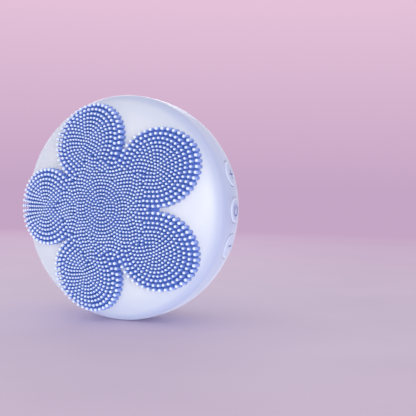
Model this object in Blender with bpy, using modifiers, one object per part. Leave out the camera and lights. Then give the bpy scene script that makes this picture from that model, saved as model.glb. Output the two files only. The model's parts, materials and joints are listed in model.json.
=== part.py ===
"""A round facial cleansing brush: a silicone skin with a flower of bristles in front, a lit ring and a warm
metal plate behind, three keys on the side, and inside them a shaker motor, a battery and the boards.

Every part is modelled in the brush's own frame: z runs along its axis towards the bristles, z = 0 is its
widest circle, and +x points at the keys. The empty brush_axis stands that frame on its rim, bristles towards
world -Y, with the origin under the middle of the brush. Lengths are in metres."""

import math

import bmesh
import bpy
from mathutils import Vector

MM = 0.001
GAP = 0.3 * MM

# Outer form
BODY_RADIUS = 41.0 * MM
FRONT_HEIGHT = 15.3 * MM  # widest circle to the front of the dome
FRONT_POWER = 2.3  # exponent of the dome's superellipse
BELT = 2.0 * MM  # half the width of the straight band round the widest circle
BACK_HEIGHT = 34.5 * MM  # semi-axis of the ellipse that the back follows
BACK_END_Z = -17.6 * MM  # where the back turns in to the lip
LIP_Z = -18.9 * MM  # rear face of the skin's lip
LIP_RADIUS = 33.95 * MM  # opening that the chrome ring stands in

# Walls
SKIN = 1.6 * MM
SHELL = 1.5 * MM
SHELL_OUT = SKIN + GAP
SHELL_IN = SHELL_OUT + SHELL
SHELL_SPLIT_Z = -9.0 * MM
COVER_BACK_Z = LIP_Z + SKIN + GAP
COVER_OPENING = 22.5 * MM

# Bristle flower, seen along the axis; the bristles stand parallel to it
BRISTLE_LENGTH = 3.8 * MM
PETALS = 5
PETAL_DISTANCE = 24.7 * MM
PETAL_RADIUS = 13.7 * MM
PETAL_PHASE = math.radians(36)  # a notch between two petals faces the keys
NOTCH_DISTANCE = 22.2 * MM

# Rear stack: radii, and heights along z
CHROME_OUTER = 33.6 * MM
CHROME_INNER = 32.3 * MM
STACK_FOOT = COVER_BACK_Z - GAP
CHROME_TOP = -23.3 * MM
BEZEL_OUTER = 32.0 * MM
BEZEL_INNER = 27.8 * MM
TRIM_OUTER = 27.5 * MM
TRIM_INNER = 26.95 * MM
DIFFUSER_OUTER = 26.65 * MM
DIFFUSER_INNER = 22.1 * MM
LIGHT_OUTER = 21.8 * MM
LIGHT_INNER = 16.95 * MM
PLATE_RADIUS = 16.65 * MM
PLATE_FLAT = 13.0 * MM
PLATE_Z = -26.7 * MM
LED_BOARD_Z = STACK_FOOT - 1.0 * MM
LED_Z = LED_BOARD_Z - 0.75 * MM
LED_CIRCLE = 19.4 * MM
LEDS = 6

# Keys
KEYS = {"plus": 12.8 * MM, "power": 0.0, "minus": -12.8 * MM}  # places along y
KEY_Z = -5.0 * MM
KEY_RADIUS = 4.3 * MM
KEY_PROUD = 0.2 * MM
KEY_THICKNESS = 1.1 * MM
PLUNGER_RADIUS = 1.5 * MM
SWITCH_SIZE = 6.0 * MM
SWITCH_BACK_X = 29.2 * MM
SWITCH_FRONT_X = 32.3 * MM
STEM_RADIUS = 1.4 * MM
STEM_END_X = 33.5 * MM
KEY_TRAVEL = 0.6 * MM
BUTTON_BOARD_X = 28.4 * MM

# Motor, with its shaft along x
MOTOR_Z = 3.2 * MM
MOTOR_RADIUS = 6.0 * MM
MOTOR_START_X = -14.0 * MM
MOTOR_END_X = 4.0 * MM
SHAFT_RADIUS = 1.0 * MM
SLEEVE_OUTER = 7.3 * MM
WEIGHT_RADIUS = 6.0 * MM
WEIGHT_START_X = 5.6 * MM
WEIGHT_END_X = 12.0 * MM

# Inner frame, battery and boards
BOSS_CIRCLE = 30.8 * MM
BOSS_RADIUS = 2.2 * MM
BOSS_TOP_Z = 7.9 * MM
BOSS_END_Z = COVER_BACK_Z + SHELL + GAP
SCREW_RADIUS = 0.8 * MM
SCREW_HOLE = 1.1 * MM
SCREW_HEAD = 1.3 * MM
CHASSIS_RADIUS = 34.0 * MM
CHASSIS_TOP_Z = -4.2 * MM
CHASSIS_THICKNESS = 1.5 * MM
BATTERY = (34.0 * MM, 30.0 * MM, 6.5 * MM)
BATTERY_TOP_Z = -6.7 * MM
BOARD = (40.0 * MM, 36.0 * MM, 1.2 * MM)
BOARD_TOP_Z = -13.9 * MM

# Charging contacts, in the skin behind the middle key
CONTACT_Z = -14.4 * MM
CONTACT_SPREAD = 2.2 * MM
CONTACT_RADIUS = 1.1 * MM
CONTACT_BLOCK = (4.6 * MM, 10.0 * MM, 3.6 * MM)  # through the wall, round the rim, along the rim
CONTACT_RECESS = 0.35 * MM

FINE = 48  # segments round the skin
PLAIN = 40  # segments round the other turned parts
SMALL = 16  # segments round pins, posts and screws

ORIGIN_X = -KEY_PROUD / 2  # this and the next put the origin under the middle of the brush
ORIGIN_Y = (FRONT_HEIGHT + BRISTLE_LENGTH + PLATE_Z) / 2
STANDING_HEIGHT = BODY_RADIUS * math.cos(math.pi / FINE)  # the skin stands on one of its facets


def clear_scene():
    for obj in list(bpy.data.objects):
        bpy.data.objects.remove(obj)


def make_collection(name):
    collection = bpy.data.collections.new(name)
    bpy.context.scene.collection.children.link(collection)
    return collection


def make_material(name, rgb, roughness, metallic=0.0, alpha=1.0):
    material = bpy.data.materials.new(name)
    material.use_nodes = True
    shader = material.node_tree.nodes["Principled BSDF"]
    shader.inputs["Base Color"].default_value = (*rgb, 1.0)
    shader.inputs["Roughness"].default_value = roughness
    shader.inputs["Metallic"].default_value = metallic
    shader.inputs["Alpha"].default_value = alpha
    return material


clear_scene()
PARTS = make_collection("facial_cleansing_brush")
CUTTERS = make_collection("cutters")
FRAME = bpy.data.objects.new("brush_axis", None)
FRAME.location = (ORIGIN_X, ORIGIN_Y, STANDING_HEIGHT)
FRAME.rotation_euler = (math.radians(90), 0.0, 0.0)
PARTS.objects.link(FRAME)

LAVENDER = make_material("lavender_silicone", (0.56, 0.59, 0.85), 0.45)
BRISTLE = make_material("bristle_silicone", (0.27, 0.36, 0.80), 0.40)
WHITE = make_material("gloss_white_plastic", (0.88, 0.89, 0.93), 0.15)
SHELL_PLASTIC = make_material("shell_plastic", (0.80, 0.80, 0.84), 0.40)
CHROME = make_material("chrome", (0.85, 0.86, 0.90), 0.06, 1.0)
SILVER = make_material("silver_trim", (0.55, 0.58, 0.66), 0.25, 1.0)
PALE_BLUE = make_material("pale_blue_diffuser", (0.47, 0.68, 0.98), 0.25)
BLUE = make_material("blue_light_guide", (0.07, 0.30, 0.97), 0.20)
PLATE = make_material("polished_plate", (0.72, 0.76, 0.84), 0.16, 1.0)
STEEL = make_material("steel", (0.60, 0.60, 0.62), 0.30, 1.0)
BRASS = make_material("gold_contact", (0.85, 0.62, 0.25), 0.20, 1.0)
TUNGSTEN = make_material("tungsten_weight", (0.30, 0.30, 0.32), 0.40, 1.0)
COPPER = make_material("copper_winding", (0.70, 0.33, 0.15), 0.35, 1.0)
BOARD_GREEN = make_material("circuit_board", (0.02, 0.18, 0.07), 0.40)
BLACK = make_material("black_plastic", (0.02, 0.02, 0.02), 0.40)
RUBBER = make_material("seal_rubber", (0.05, 0.05, 0.06), 0.70)
FOAM = make_material("foam", (0.25, 0.25, 0.27), 0.90)
FOIL = make_material("battery_foil", (0.70, 0.70, 0.72), 0.35, 0.8)
AMBER = make_material("heater_film", (0.80, 0.40, 0.08), 0.30)
LED_WHITE = make_material("led", (0.85, 0.90, 1.00), 0.20)
RED_WIRE = make_material("red_wire", (0.60, 0.03, 0.03), 0.45)


# ---------------------------------------------------------------- making objects


def add_object(name, mesh, material, collection=PARTS):
    obj = bpy.data.objects.new(name, mesh)
    collection.objects.link(obj)
    obj.parent = FRAME
    if material is not None:
        mesh.materials.append(material)
    return obj


def as_cutter(obj):
    PARTS.objects.unlink(obj)
    CUTTERS.objects.link(obj)
    obj.hide_render = True
    obj.display_type = "WIRE"
    return obj


def evaluated_mesh(obj):
    bpy.context.view_layer.update()
    return bpy.data.meshes.new_from_object(obj.evaluated_get(bpy.context.evaluated_depsgraph_get()))


def smooth(mesh):
    mesh.shade_smooth()
    mesh.set_sharp_from_angle(angle=math.radians(35))


def turned(name, profile, material, segments=PLAIN):
    """Turns a profile of (radius, z) round z. It runs down the outer side first, and closes on the axis or on
    itself. The half step at the end puts facets, not edges, on the x and y axes."""
    mesh = bpy.data.meshes.new(name)
    points = [(r, 0.0, z) for r, z in profile]
    edges = [(i, i + 1) for i in range(len(points) - 1)]
    if profile[0][0] > 0:
        edges.append((len(points) - 1, 0))
    mesh.from_pydata(points, edges, [])
    obj = add_object(name, mesh, material)
    screw = obj.modifiers.new("turn", "SCREW")
    screw.axis = "Z"
    screw.steps = screw.render_steps = segments
    screw.use_merge_vertices = True
    screw.merge_threshold = 1e-5
    obj.data = evaluated_mesh(obj)
    obj.modifiers.clear()
    smooth(obj.data)
    obj.rotation_euler.z = math.pi / segments
    return obj


def ring(name, outer, inner, top, bottom, material, segments=PLAIN):
    """A plain ring or, with no inner radius, a disc."""
    if inner:
        profile = [(outer, top), (outer, bottom), (inner, bottom), (inner, top)]
    else:
        profile = [(0, top), (outer, top), (outer, bottom), (0, bottom)]
    return turned(name, profile, material, segments)


def block(name, size, centre, material, bevel=0.0):
    mesh = bpy.data.meshes.new(name)
    shape = bmesh.new()
    bmesh.ops.create_cube(shape, size=1.0)
    bmesh.ops.scale(shape, vec=size, verts=shape.verts)
    shape.to_mesh(mesh)
    shape.free()
    obj = add_object(name, mesh, material)
    obj.location = centre
    if bevel:
        modifier = obj.modifiers.new("bevel", "BEVEL")
        modifier.width = bevel
        modifier.segments = 1
    return obj


def rod(name, radius, start, end, material=None, segments=SMALL):
    """A round bar from one point to another."""
    start, end = Vector(start), Vector(end)
    mesh = bpy.data.meshes.new(name)
    shape = bmesh.new()
    bmesh.ops.create_cone(
        shape,
        cap_ends=True,
        segments=segments,
        radius1=radius,
        radius2=radius,
        depth=(end - start).length,
    )
    shape.to_mesh(mesh)
    shape.free()
    smooth(mesh)
    obj = add_object(name, mesh, material)
    obj.location = (start + end) / 2
    obj.rotation_mode = "QUATERNION"
    obj.rotation_quaternion = (end - start).to_track_quat("Z", "Y")
    return obj


def bar_x(name, radius, x_from, x_to, place, material=None, segments=SMALL):
    """A round bar along x; place is its (y, z)."""
    return rod(name, radius, (x_from, *place), (x_to, *place), material, segments)


def post(name, radius, angle, z_from, z_to, segments=14):
    """A round bar along z on the circle of the screws."""
    start = on_circle(BOSS_CIRCLE, angle, z_from)
    end = on_circle(BOSS_CIRCLE, angle, z_to)
    return rod(name, radius, start, end, None, segments)


def combine(obj, other, operation):
    modifier = obj.modifiers.new(f"{operation.lower()}_{other.name}", "BOOLEAN")
    modifier.operation = operation
    modifier.object = other
    return obj


def cut(obj, *tools):
    for tool in tools:
        combine(obj, as_cutter(tool), "DIFFERENCE")
    return obj


def join(obj, *pieces):
    for piece in pieces:
        combine(obj, as_cutter(piece), "UNION")
    return obj


def wire(name, points, radius, material):
    """A lead along a smooth curve through its route's points."""
    curve = bpy.data.curves.new(name, "CURVE")
    curve.dimensions = "3D"
    curve.bevel_depth = radius
    curve.bevel_resolution = 2
    curve.use_fill_caps = True
    smooth = smooth_route([Vector(p) for p in points], 5)
    spline = curve.splines.new("POLY")
    spline.points.add(len(smooth) - 1)
    for point, place in zip(spline.points, smooth):
        point.co = (*place, 1.0)
    obj = bpy.data.objects.new(name, curve)
    PARTS.objects.link(obj)
    obj.parent = FRAME
    curve.materials.append(material)
    return obj


def smooth_route(points, steps):
    """Points of a Catmull-Rom curve through the given ones."""
    ends = [2 * points[0] - points[1], *points, 2 * points[-1] - points[-2]]
    route = []
    for a, b, c, d in zip(ends, ends[1:], ends[2:], ends[3:]):
        for i in range(steps):
            t = i / steps
            square = (2 * a - 5 * b + 4 * c - d) * t**2
            cube = (3 * b - a - 3 * c + d) * t**3
            route.append(0.5 * (2 * b + (c - a) * t + square + cube))
    return [*route, points[-1]]


def on_circle(radius, angle, z):
    return Vector((radius * math.cos(angle), radius * math.sin(angle), z))


# ---------------------------------------------------------------- the body's form


def front_point(t, inset=0.0):
    """(radius, z) on the dome, from its middle at t = 0 to the belt at t = 1, moved in by inset."""
    height = FRONT_HEIGHT - BELT
    angle = t * math.pi / 2
    r = BODY_RADIUS * math.sin(angle) ** (2 / FRONT_POWER)
    z = height * max(math.cos(angle), 0.0) ** (2 / FRONT_POWER)
    nr = (r / BODY_RADIUS) ** (FRONT_POWER - 1) / BODY_RADIUS
    nz = (z / height) ** (FRONT_POWER - 1) / height
    scale = inset / math.hypot(nr, nz)
    return max(r - nr * scale, 0.0), z + BELT - nz * scale


def back_point(z, inset=0.0):
    """(radius, z) on the back at height z of its outer surface, moved in by inset."""
    depth = -z - BELT
    r = BODY_RADIUS * math.sqrt(1 - (depth / BACK_HEIGHT) ** 2)
    nr, nz = r / BODY_RADIUS**2, -depth / BACK_HEIGHT**2
    scale = inset / math.hypot(nr, nz)
    return r - nr * scale, z - nz * scale


def front_line(inset=0.0, steps=9):
    return [front_point(i / steps, inset) for i in range(steps + 1)]


def back_line(end, inset=0.0, steps=5, start=-BELT):
    """The back from one height to another, at the heights where the moved-in surface is."""
    return [back_point(start + (end - start) * i / steps, inset) for i in range(steps + 1)]


def back_radius(z, inset=0.0):
    """Radius of the moved-in surface at height z itself."""
    outer = z
    for _ in range(20):
        outer += z - back_point(outer, inset)[1]
    return back_point(outer, inset)[0]


def lip_corner(steps=3):
    """An arc from the end of the back's ellipse, tangent to it, to the lip's rear face."""
    r, _ = back_point(BACK_END_Z)
    slope = math.atan2((-BACK_END_Z - BELT) / BACK_HEIGHT**2, r / BODY_RADIUS**2)
    radius = (BACK_END_Z - LIP_Z) / (1 - math.sin(slope))
    centre_r = r - radius * math.cos(slope)
    centre_z = LIP_Z + radius
    angles = [slope + (math.pi / 2 - slope) * i / steps for i in range(1, steps + 1)]
    return [(centre_r + radius * math.cos(a), centre_z - radius * math.sin(a)) for a in angles]


# ---------------------------------------------------------------- outside


def make_skin():
    outer = front_line() + back_line(BACK_END_Z) + lip_corner()
    lip_top = LIP_Z + SKIN
    inner = front_line(SKIN, 8) + back_line(lip_top + SKIN, SKIN, 4)
    inner.append((back_radius(lip_top, SKIN), lip_top))
    lip = [(LIP_RADIUS, LIP_Z), (LIP_RADIUS, lip_top)]
    skin = turned("silicone_skin", outer + lip + inner[::-1], LAVENDER, FINE)
    for y in KEYS.values():
        cut(skin, bar_x("key_hole", KEY_RADIUS + GAP, 30 * MM, 45 * MM, (y, KEY_Z), None, 28))
    return cut(skin, contact_window(2 * GAP))


def make_bristle_field():
    """The space that the bristles fill: a slab over the dome, cut to the flower's outline."""
    under = [front_point(i / 10, -GAP) for i in range(10)]
    top = [(r, z + BRISTLE_LENGTH - GAP) for r, z in under]
    field = turned("bristle_field", top + under[::-1], BRISTLE, PLAIN)
    outline = bpy.data.curves.new("flower_outline", "CURVE")
    outline.dimensions = "2D"
    outline.fill_mode = "BOTH"
    outline.extrude = FRONT_HEIGHT
    spline = outline.splines.new("POLY")
    points = flower_points(9)
    spline.points.add(len(points) - 1)
    for point, place in zip(spline.points, points):
        point.co = (*place, 0.0, 1.0)
    spline.use_cyclic_u = True
    guide = bpy.data.objects.new("flower_guide", outline)
    guide.location = (0.0, 0.0, FRONT_HEIGHT)
    PARTS.objects.link(guide)
    guide.parent = FRAME
    shape = evaluated_mesh(guide)
    place = guide.location.copy()
    bpy.data.objects.remove(guide)
    welded = bmesh.new()
    welded.from_mesh(shape)
    bmesh.ops.remove_doubles(welded, verts=welded.verts, dist=1e-6)
    bmesh.ops.recalc_face_normals(welded, faces=welded.faces)
    welded.to_mesh(shape)
    welded.free()
    flower = add_object("flower", shape, None)
    flower.location = place
    return combine(field, as_cutter(flower), "INTERSECT")


def flower_points(steps):
    """The flower's outline: round a petal, then straight to the notch before the next one."""
    half_step = math.pi / PETALS
    corner_way = Vector((math.cos(half_step), math.sin(half_step)))
    notch = corner_way * NOTCH_DISTANCE - Vector((PETAL_DISTANCE, 0.0))
    swing = math.atan2(notch.y, notch.x) - math.acos(PETAL_RADIUS / notch.length)
    points = []
    for petal in range(PETALS):
        axis = PETAL_PHASE + 2 * math.pi * petal / PETALS
        for i in range(steps + 1):
            turn = axis + swing * (2 * i / steps - 1)
            x = PETAL_DISTANCE * math.cos(axis) + PETAL_RADIUS * math.cos(turn)
            y = PETAL_DISTANCE * math.sin(axis) + PETAL_RADIUS * math.sin(turn)
            points.append(Vector((x, y)))
        corner = axis + half_step
        points.append(Vector((math.cos(corner), math.sin(corner))) * NOTCH_DISTANCE)
    return points


def make_rear_stack():
    chrome_edge = 0.45 * MM
    turned(
        "chrome_ring",
        [
            (CHROME_OUTER, STACK_FOOT),
            (CHROME_OUTER, CHROME_TOP + chrome_edge),
            (CHROME_OUTER - 0.4 * chrome_edge, CHROME_TOP + 0.2 * chrome_edge),
            (CHROME_OUTER - 1.2 * chrome_edge, CHROME_TOP),
            (CHROME_INNER, CHROME_TOP),
            (CHROME_INNER, STACK_FOOT),
        ],
        CHROME,
    )
    bezel_skirt = BEZEL_INNER + 1.4 * MM
    turned(
        "white_bezel",
        [
            (BEZEL_OUTER, -21.4 * MM),
            (BEZEL_OUTER, -22.9 * MM),
            (BEZEL_OUTER - 0.4 * MM, -23.25 * MM),
            (30.0 * MM, -23.6 * MM),
            (BEZEL_INNER, -23.8 * MM),
            (BEZEL_INNER, STACK_FOOT),
            (bezel_skirt, STACK_FOOT),
            (bezel_skirt, -21.4 * MM),
        ],
        WHITE,
    )
    turned(
        "trim_ring",
        [
            (TRIM_OUTER, -21.6 * MM),
            (TRIM_OUTER, -25.4 * MM),
            (TRIM_OUTER - 0.2 * MM, -25.6 * MM),
            (TRIM_INNER, -25.6 * MM),
            (TRIM_INNER, -21.6 * MM),
        ],
        SILVER,
    )
    turned(
        "diffuser_ring",
        [
            (DIFFUSER_OUTER, LED_BOARD_Z - GAP),
            (DIFFUSER_OUTER, -25.45 * MM),
            (DIFFUSER_INNER, -24.7 * MM),
            (DIFFUSER_INNER, -22.9 * MM),
            (25.2 * MM, -22.9 * MM),
            (25.2 * MM, LED_BOARD_Z - GAP),
        ],
        PALE_BLUE,
    )
    turned(
        "light_ring",
        [
            (LIGHT_OUTER, -22.7 * MM),
            (LIGHT_OUTER, -24.4 * MM),
            (21.0 * MM, -25.0 * MM),
            (19.4 * MM, -25.3 * MM),
            (17.8 * MM, -25.3 * MM),
            (LIGHT_INNER, -24.9 * MM),
            (LIGHT_INNER, -22.7 * MM),
        ],
        BLUE,
    )
    turned(
        "massage_plate",
        [
            (0, PLATE_Z + 1.2 * MM),
            (15.5 * MM, PLATE_Z + 1.2 * MM),
            (15.5 * MM, -24.6 * MM),
            (PLATE_RADIUS, -24.6 * MM),
            (PLATE_RADIUS, -25.9 * MM),
            (16.3 * MM, -26.2 * MM),
            (15.0 * MM, -26.5 * MM),
            (PLATE_FLAT, PLATE_Z),
            (0, PLATE_Z),
        ],
        PLATE,
    )


def make_plate_module():
    board_back = LED_BOARD_Z - GAP
    turned(
        "plate_carrier",
        [
            (16.5 * MM, board_back),
            (16.5 * MM, -24.3 * MM),
            (14.9 * MM, -24.3 * MM),
            (14.9 * MM, -22.2 * MM),
            (12.0 * MM, -22.2 * MM),
            (12.0 * MM, board_back),
        ],
        SHELL_PLASTIC,
    )
    ring("heater_film", 14.0 * MM, 0, -24.9 * MM, -25.2 * MM, AMBER)
    ring("heater_pad", 13.2 * MM, 0, -23.5 * MM, -24.6 * MM, FOAM)
    block("thermistor", (2.4 * MM, 1.4 * MM, 0.9 * MM), (8 * MM, 0, -22.7 * MM), BLACK)
    ring("led_board", 26.0 * MM, 9.0 * MM, STACK_FOOT, LED_BOARD_Z, BOARD_GREEN)
    for i in range(LEDS):
        angle = 2 * math.pi * (i + 0.5) / LEDS
        place = on_circle(LED_CIRCLE, angle, LED_Z)
        led = block(f"led_{i + 1}", (3 * MM, 3 * MM, 0.9 * MM), place, LED_WHITE)
        led.rotation_euler.z = angle


# ---------------------------------------------------------------- housing


def boss_angles():
    return [math.radians(45 + 90 * i) for i in range(4)]


def make_front_shell():
    split = SHELL_SPLIT_Z
    outer = front_line(SHELL_OUT, 8) + back_line(split, SHELL_OUT, 3)
    inner = front_line(SHELL_IN, 7) + back_line(split, SHELL_IN, 3)
    outer[-1] = (back_radius(split, SHELL_OUT), split)
    inner[-1] = (back_radius(split, SHELL_IN), split)
    shell = turned("front_shell", outer + inner[::-1], SHELL_PLASTIC)
    for i, angle in enumerate(boss_angles()):
        join(shell, post(f"boss_{i}", BOSS_RADIUS, angle, BOSS_TOP_Z, BOSS_END_Z))
        cut(shell, post(f"boss_hole_{i}", SCREW_HOLE, angle, -9 * MM, -20 * MM, 12))
    for y in KEYS.values():
        cut(shell, bar_x("plunger_hole", PLUNGER_RADIUS + GAP, 30 * MM, 42 * MM, (y, KEY_Z)))
    return shell


def make_rear_cover():
    start = SHELL_SPLIT_Z - 2 * GAP
    floor = COVER_BACK_Z + SHELL
    outer = [(back_radius(z, SHELL_OUT), z) for z in (start, (start + COVER_BACK_Z) / 2, COVER_BACK_Z)]
    inner = [(back_radius(z, SHELL_IN), z) for z in (floor, (start + floor) / 2, start)]
    edge = [(COVER_OPENING, COVER_BACK_Z), (COVER_OPENING, floor)]
    cover = turned("rear_cover", outer + edge + inner, SHELL_PLASTIC)
    for i, angle in enumerate(boss_angles()):
        cut(cover, post(f"cover_hole_{i}", SCREW_HOLE, angle, -14 * MM, -19 * MM, 12))
    return cut(cover, contact_window(GAP))


def make_seal_and_screws():
    seal_end = SHELL_SPLIT_Z - 1.1 * MM
    outer = back_radius(seal_end, SHELL_IN) - GAP
    ring("shell_seal", outer, outer - 1.0 * MM, SHELL_SPLIT_Z + 0.8 * MM, seal_end, RUBBER)
    for i, angle in enumerate(boss_angles()):
        screw = turned(
            f"cover_screw_{i + 1}",
            [
                (0, -9.3 * MM),
                (SCREW_RADIUS, -9.8 * MM),
                (SCREW_RADIUS, STACK_FOOT),
                (SCREW_HEAD, STACK_FOOT),
                (SCREW_HEAD, STACK_FOOT - 0.8 * MM),
                (0, STACK_FOOT - 1.1 * MM),
            ],
            STEEL,
            12,
        )
        screw.location = on_circle(BOSS_CIRCLE, angle, 0.0)


# ---------------------------------------------------------------- keys and charging contacts


def key_blank(proud, thickness):
    """A band of the body's own surface, for cutting a key's cap out of."""
    heights = [KEY_Z + 6.5 * MM - 2.6 * MM * i for i in range(6)]
    heights = [min(h, -BELT) for h in heights]
    heights = sorted(set(heights), reverse=True)
    outer = [(BODY_RADIUS + proud, KEY_Z + 6.5 * MM)] + [back_point(z, -proud) for z in heights]
    inner = [(r - thickness, z) for r, z in outer]
    return turned("key_blank", outer + inner[::-1], LAVENDER, FINE)


def make_key(name, y):
    """Cap and plunger travel towards the switch, whose stem the plunger presses."""
    place = (y, KEY_Z)
    cap = key_blank(KEY_PROUD, KEY_THICKNESS)
    cap.name = f"{name}_button_cap"
    combine(cap, as_cutter(bar_x("cap_outline", KEY_RADIUS, 30 * MM, 45 * MM, place, None, 28)), "INTERSECT")
    under = KEY_THICKNESS - KEY_PROUD + GAP
    reach = abs(y) + PLUNGER_RADIUS
    plunger_end = math.sqrt((back_radius(KEY_Z - PLUNGER_RADIUS) - under) ** 2 - reach**2)
    bar_x(f"{name}_plunger", PLUNGER_RADIUS, STEM_END_X + GAP, plunger_end, place, SHELL_PLASTIC)
    depth = SWITCH_FRONT_X - SWITCH_BACK_X
    middle = (SWITCH_BACK_X + SWITCH_FRONT_X) / 2
    switch = block(f"{name}_switch", (depth, SWITCH_SIZE, SWITCH_SIZE), (middle, *place), BLACK)
    well = SWITCH_FRONT_X - 2.0 * MM
    cut(switch, bar_x("switch_well", STEM_RADIUS + GAP, well, SWITCH_FRONT_X + MM, place, None, 16))
    bar_x(f"{name}_switch_stem", STEM_RADIUS, well + KEY_TRAVEL + GAP, STEM_END_X, place, STEEL, 16)


def make_keys():
    for name, y in KEYS.items():
        make_key(name, y)
    span = 2 * max(KEYS.values()) + SWITCH_SIZE + 1.4 * MM
    block("button_board", (1.0 * MM, span, 8.0 * MM), (BUTTON_BOARD_X, 0.0, KEY_Z), BOARD_GREEN)


def contact_frame():
    """The outward direction and the surface point in the middle of the charging contacts."""
    r, z = back_point(CONTACT_Z)
    depth = -CONTACT_Z - BELT
    out = Vector((r / BODY_RADIUS**2, 0.0, -depth / BACK_HEIGHT**2)).normalized()
    return Vector((r, 0.0, z)), out


def contact_window(clearance):
    """A cutter for the opening that the contact block stands in."""
    point, out = contact_frame()
    size = (12 * MM, CONTACT_BLOCK[1] + 2 * clearance, CONTACT_BLOCK[2] + 2 * clearance)
    window = block("contact_window", size, point, None)
    window.rotation_euler.y = math.atan2(-out.z, out.x)
    return window


def make_contacts():
    point, out = contact_frame()
    turn = math.atan2(-out.z, out.x)
    depth, width, height = CONTACT_BLOCK
    face = point - out * CONTACT_RECESS
    holder = block("contact_block", (depth, width, height), face - out * depth / 2, WHITE)
    holder.rotation_euler.y = turn
    for i, y in enumerate((CONTACT_SPREAD, -CONTACT_SPREAD)):
        start = face + Vector((0.0, y, 0.0))
        ends = (start + out * MM, start - out * 8 * MM)
        cut(holder, rod(f"contact_hole_{i}", CONTACT_RADIUS + GAP / 2, *ends, None, 16))
        end = start - out * (depth + MM)
        rod(f"charge_contact_{i + 1}", CONTACT_RADIUS, start, end, BRASS, 16)
    magnet = block("charger_magnet", (1.4 * MM, 8.6 * MM, 3.4 * MM), face - out * (depth + 2.2 * MM), STEEL)
    magnet.rotation_euler.y = turn


# ---------------------------------------------------------------- motor


def make_motor():
    """A can motor whose shaft swings a half-round weight."""
    axis = (0.0, MOTOR_Z)
    can = bar_x("motor_can", MOTOR_RADIUS, MOTOR_START_X, MOTOR_END_X, axis, STEEL, 24)
    bore = MOTOR_RADIUS - 0.8 * MM
    cut(can, bar_x("can_hollow", bore, MOTOR_START_X - MM, MOTOR_END_X - MM, axis, None, 24))
    cut(can, bar_x("can_nose_hole", SHAFT_RADIUS + GAP, 0.0, MOTOR_END_X + MM, axis, None, 16))
    cap_end = MOTOR_START_X + 2.0 * MM
    bar_x("motor_end_cap", bore - GAP, MOTOR_START_X, cap_end, axis, BLACK, 24)
    sleeve_ends = (MOTOR_START_X + 2 * MM, MOTOR_END_X - 2 * MM)
    sleeve = bar_x("motor_sleeve", SLEEVE_OUTER, *sleeve_ends, axis, RUBBER, 24)
    cut(sleeve, bar_x("sleeve_bore", MOTOR_RADIUS + GAP, MOTOR_START_X, MOTOR_END_X, axis, None, 24))
    bar_x("motor_shaft", SHAFT_RADIUS, cap_end + 2 * GAP, WEIGHT_END_X + 2 * GAP, axis, STEEL, 16)
    armature = bar_x("motor_armature", 4.4 * MM, cap_end + 1.5 * MM, MOTOR_END_X - 2.5 * MM, axis, COPPER)
    weight = bar_x("eccentric_weight", WEIGHT_RADIUS, WEIGHT_START_X, WEIGHT_END_X, axis, TUNGSTEN, 24)
    cut(weight, block("weight_half", (10 * MM, 14 * MM, 14 * MM), (9 * MM, 9 * MM, MOTOR_Z), None))
    for piece in (armature, weight):
        cut(piece, bar_x("shaft_bore", SHAFT_RADIUS + GAP, MOTOR_START_X, WEIGHT_END_X + MM, axis, None, 16))


# ---------------------------------------------------------------- inner frame, battery and boards


def make_chassis():
    low = CHASSIS_TOP_Z - CHASSIS_THICKNESS
    chassis = ring("chassis", CHASSIS_RADIUS, 0, CHASSIS_TOP_Z, low, SHELL_PLASTIC)
    for i, x in enumerate((-10.0 * MM, 0.0)):
        join(chassis, block(f"saddle_{i}", (3 * MM, 19 * MM, 9 * MM), (x, 0.0, CHASSIS_TOP_Z + 4 * MM), None))
    cut(chassis, bar_x("cradle", SLEEVE_OUTER + GAP, -13 * MM, 3 * MM, (0.0, MOTOR_Z), None, 24))
    cut(chassis, block("key_side", (20 * MM, 60 * MM, 20 * MM), (37.5 * MM, 0.0, CHASSIS_TOP_Z), None))
    for i, angle in enumerate(boss_angles()):
        cut(chassis, post(f"boss_way_{i}", BOSS_RADIUS + GAP, angle, 0.0, -9 * MM))
    way = rod("lead_way", 2.6 * MM, (-25 * MM, 0.0, 0.0), (-25 * MM, 0.0, -9 * MM), None, 14)
    return cut(chassis, way)


def make_battery_and_boards():
    block("battery_pad", (30 * MM, 26 * MM, 0.4 * MM), (-1 * MM, 0, -6.2 * MM), FOAM)
    block("battery", BATTERY, (-1 * MM, 0, BATTERY_TOP_Z - BATTERY[2] / 2), FOIL, 1.2 * MM)
    block("main_board", BOARD, (0, 0, BOARD_TOP_Z - BOARD[2] / 2), BOARD_GREEN)
    under = BOARD_TOP_Z - BOARD[2] - GAP
    block("controller_chip", (6 * MM, 6 * MM, 1 * MM), (-8 * MM, 6 * MM, under - 0.5 * MM), BLACK)
    block("charger_chip", (4 * MM, 4 * MM, 0.9 * MM), (11 * MM, 9 * MM, under - 0.45 * MM), BLACK)
    inductor = (4.5 * MM, 4.5 * MM, 1.5 * MM)
    block("boost_inductor", inductor, (10 * MM, -9 * MM, under - inductor[2] / 2), BLACK, 0.4 * MM)


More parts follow.
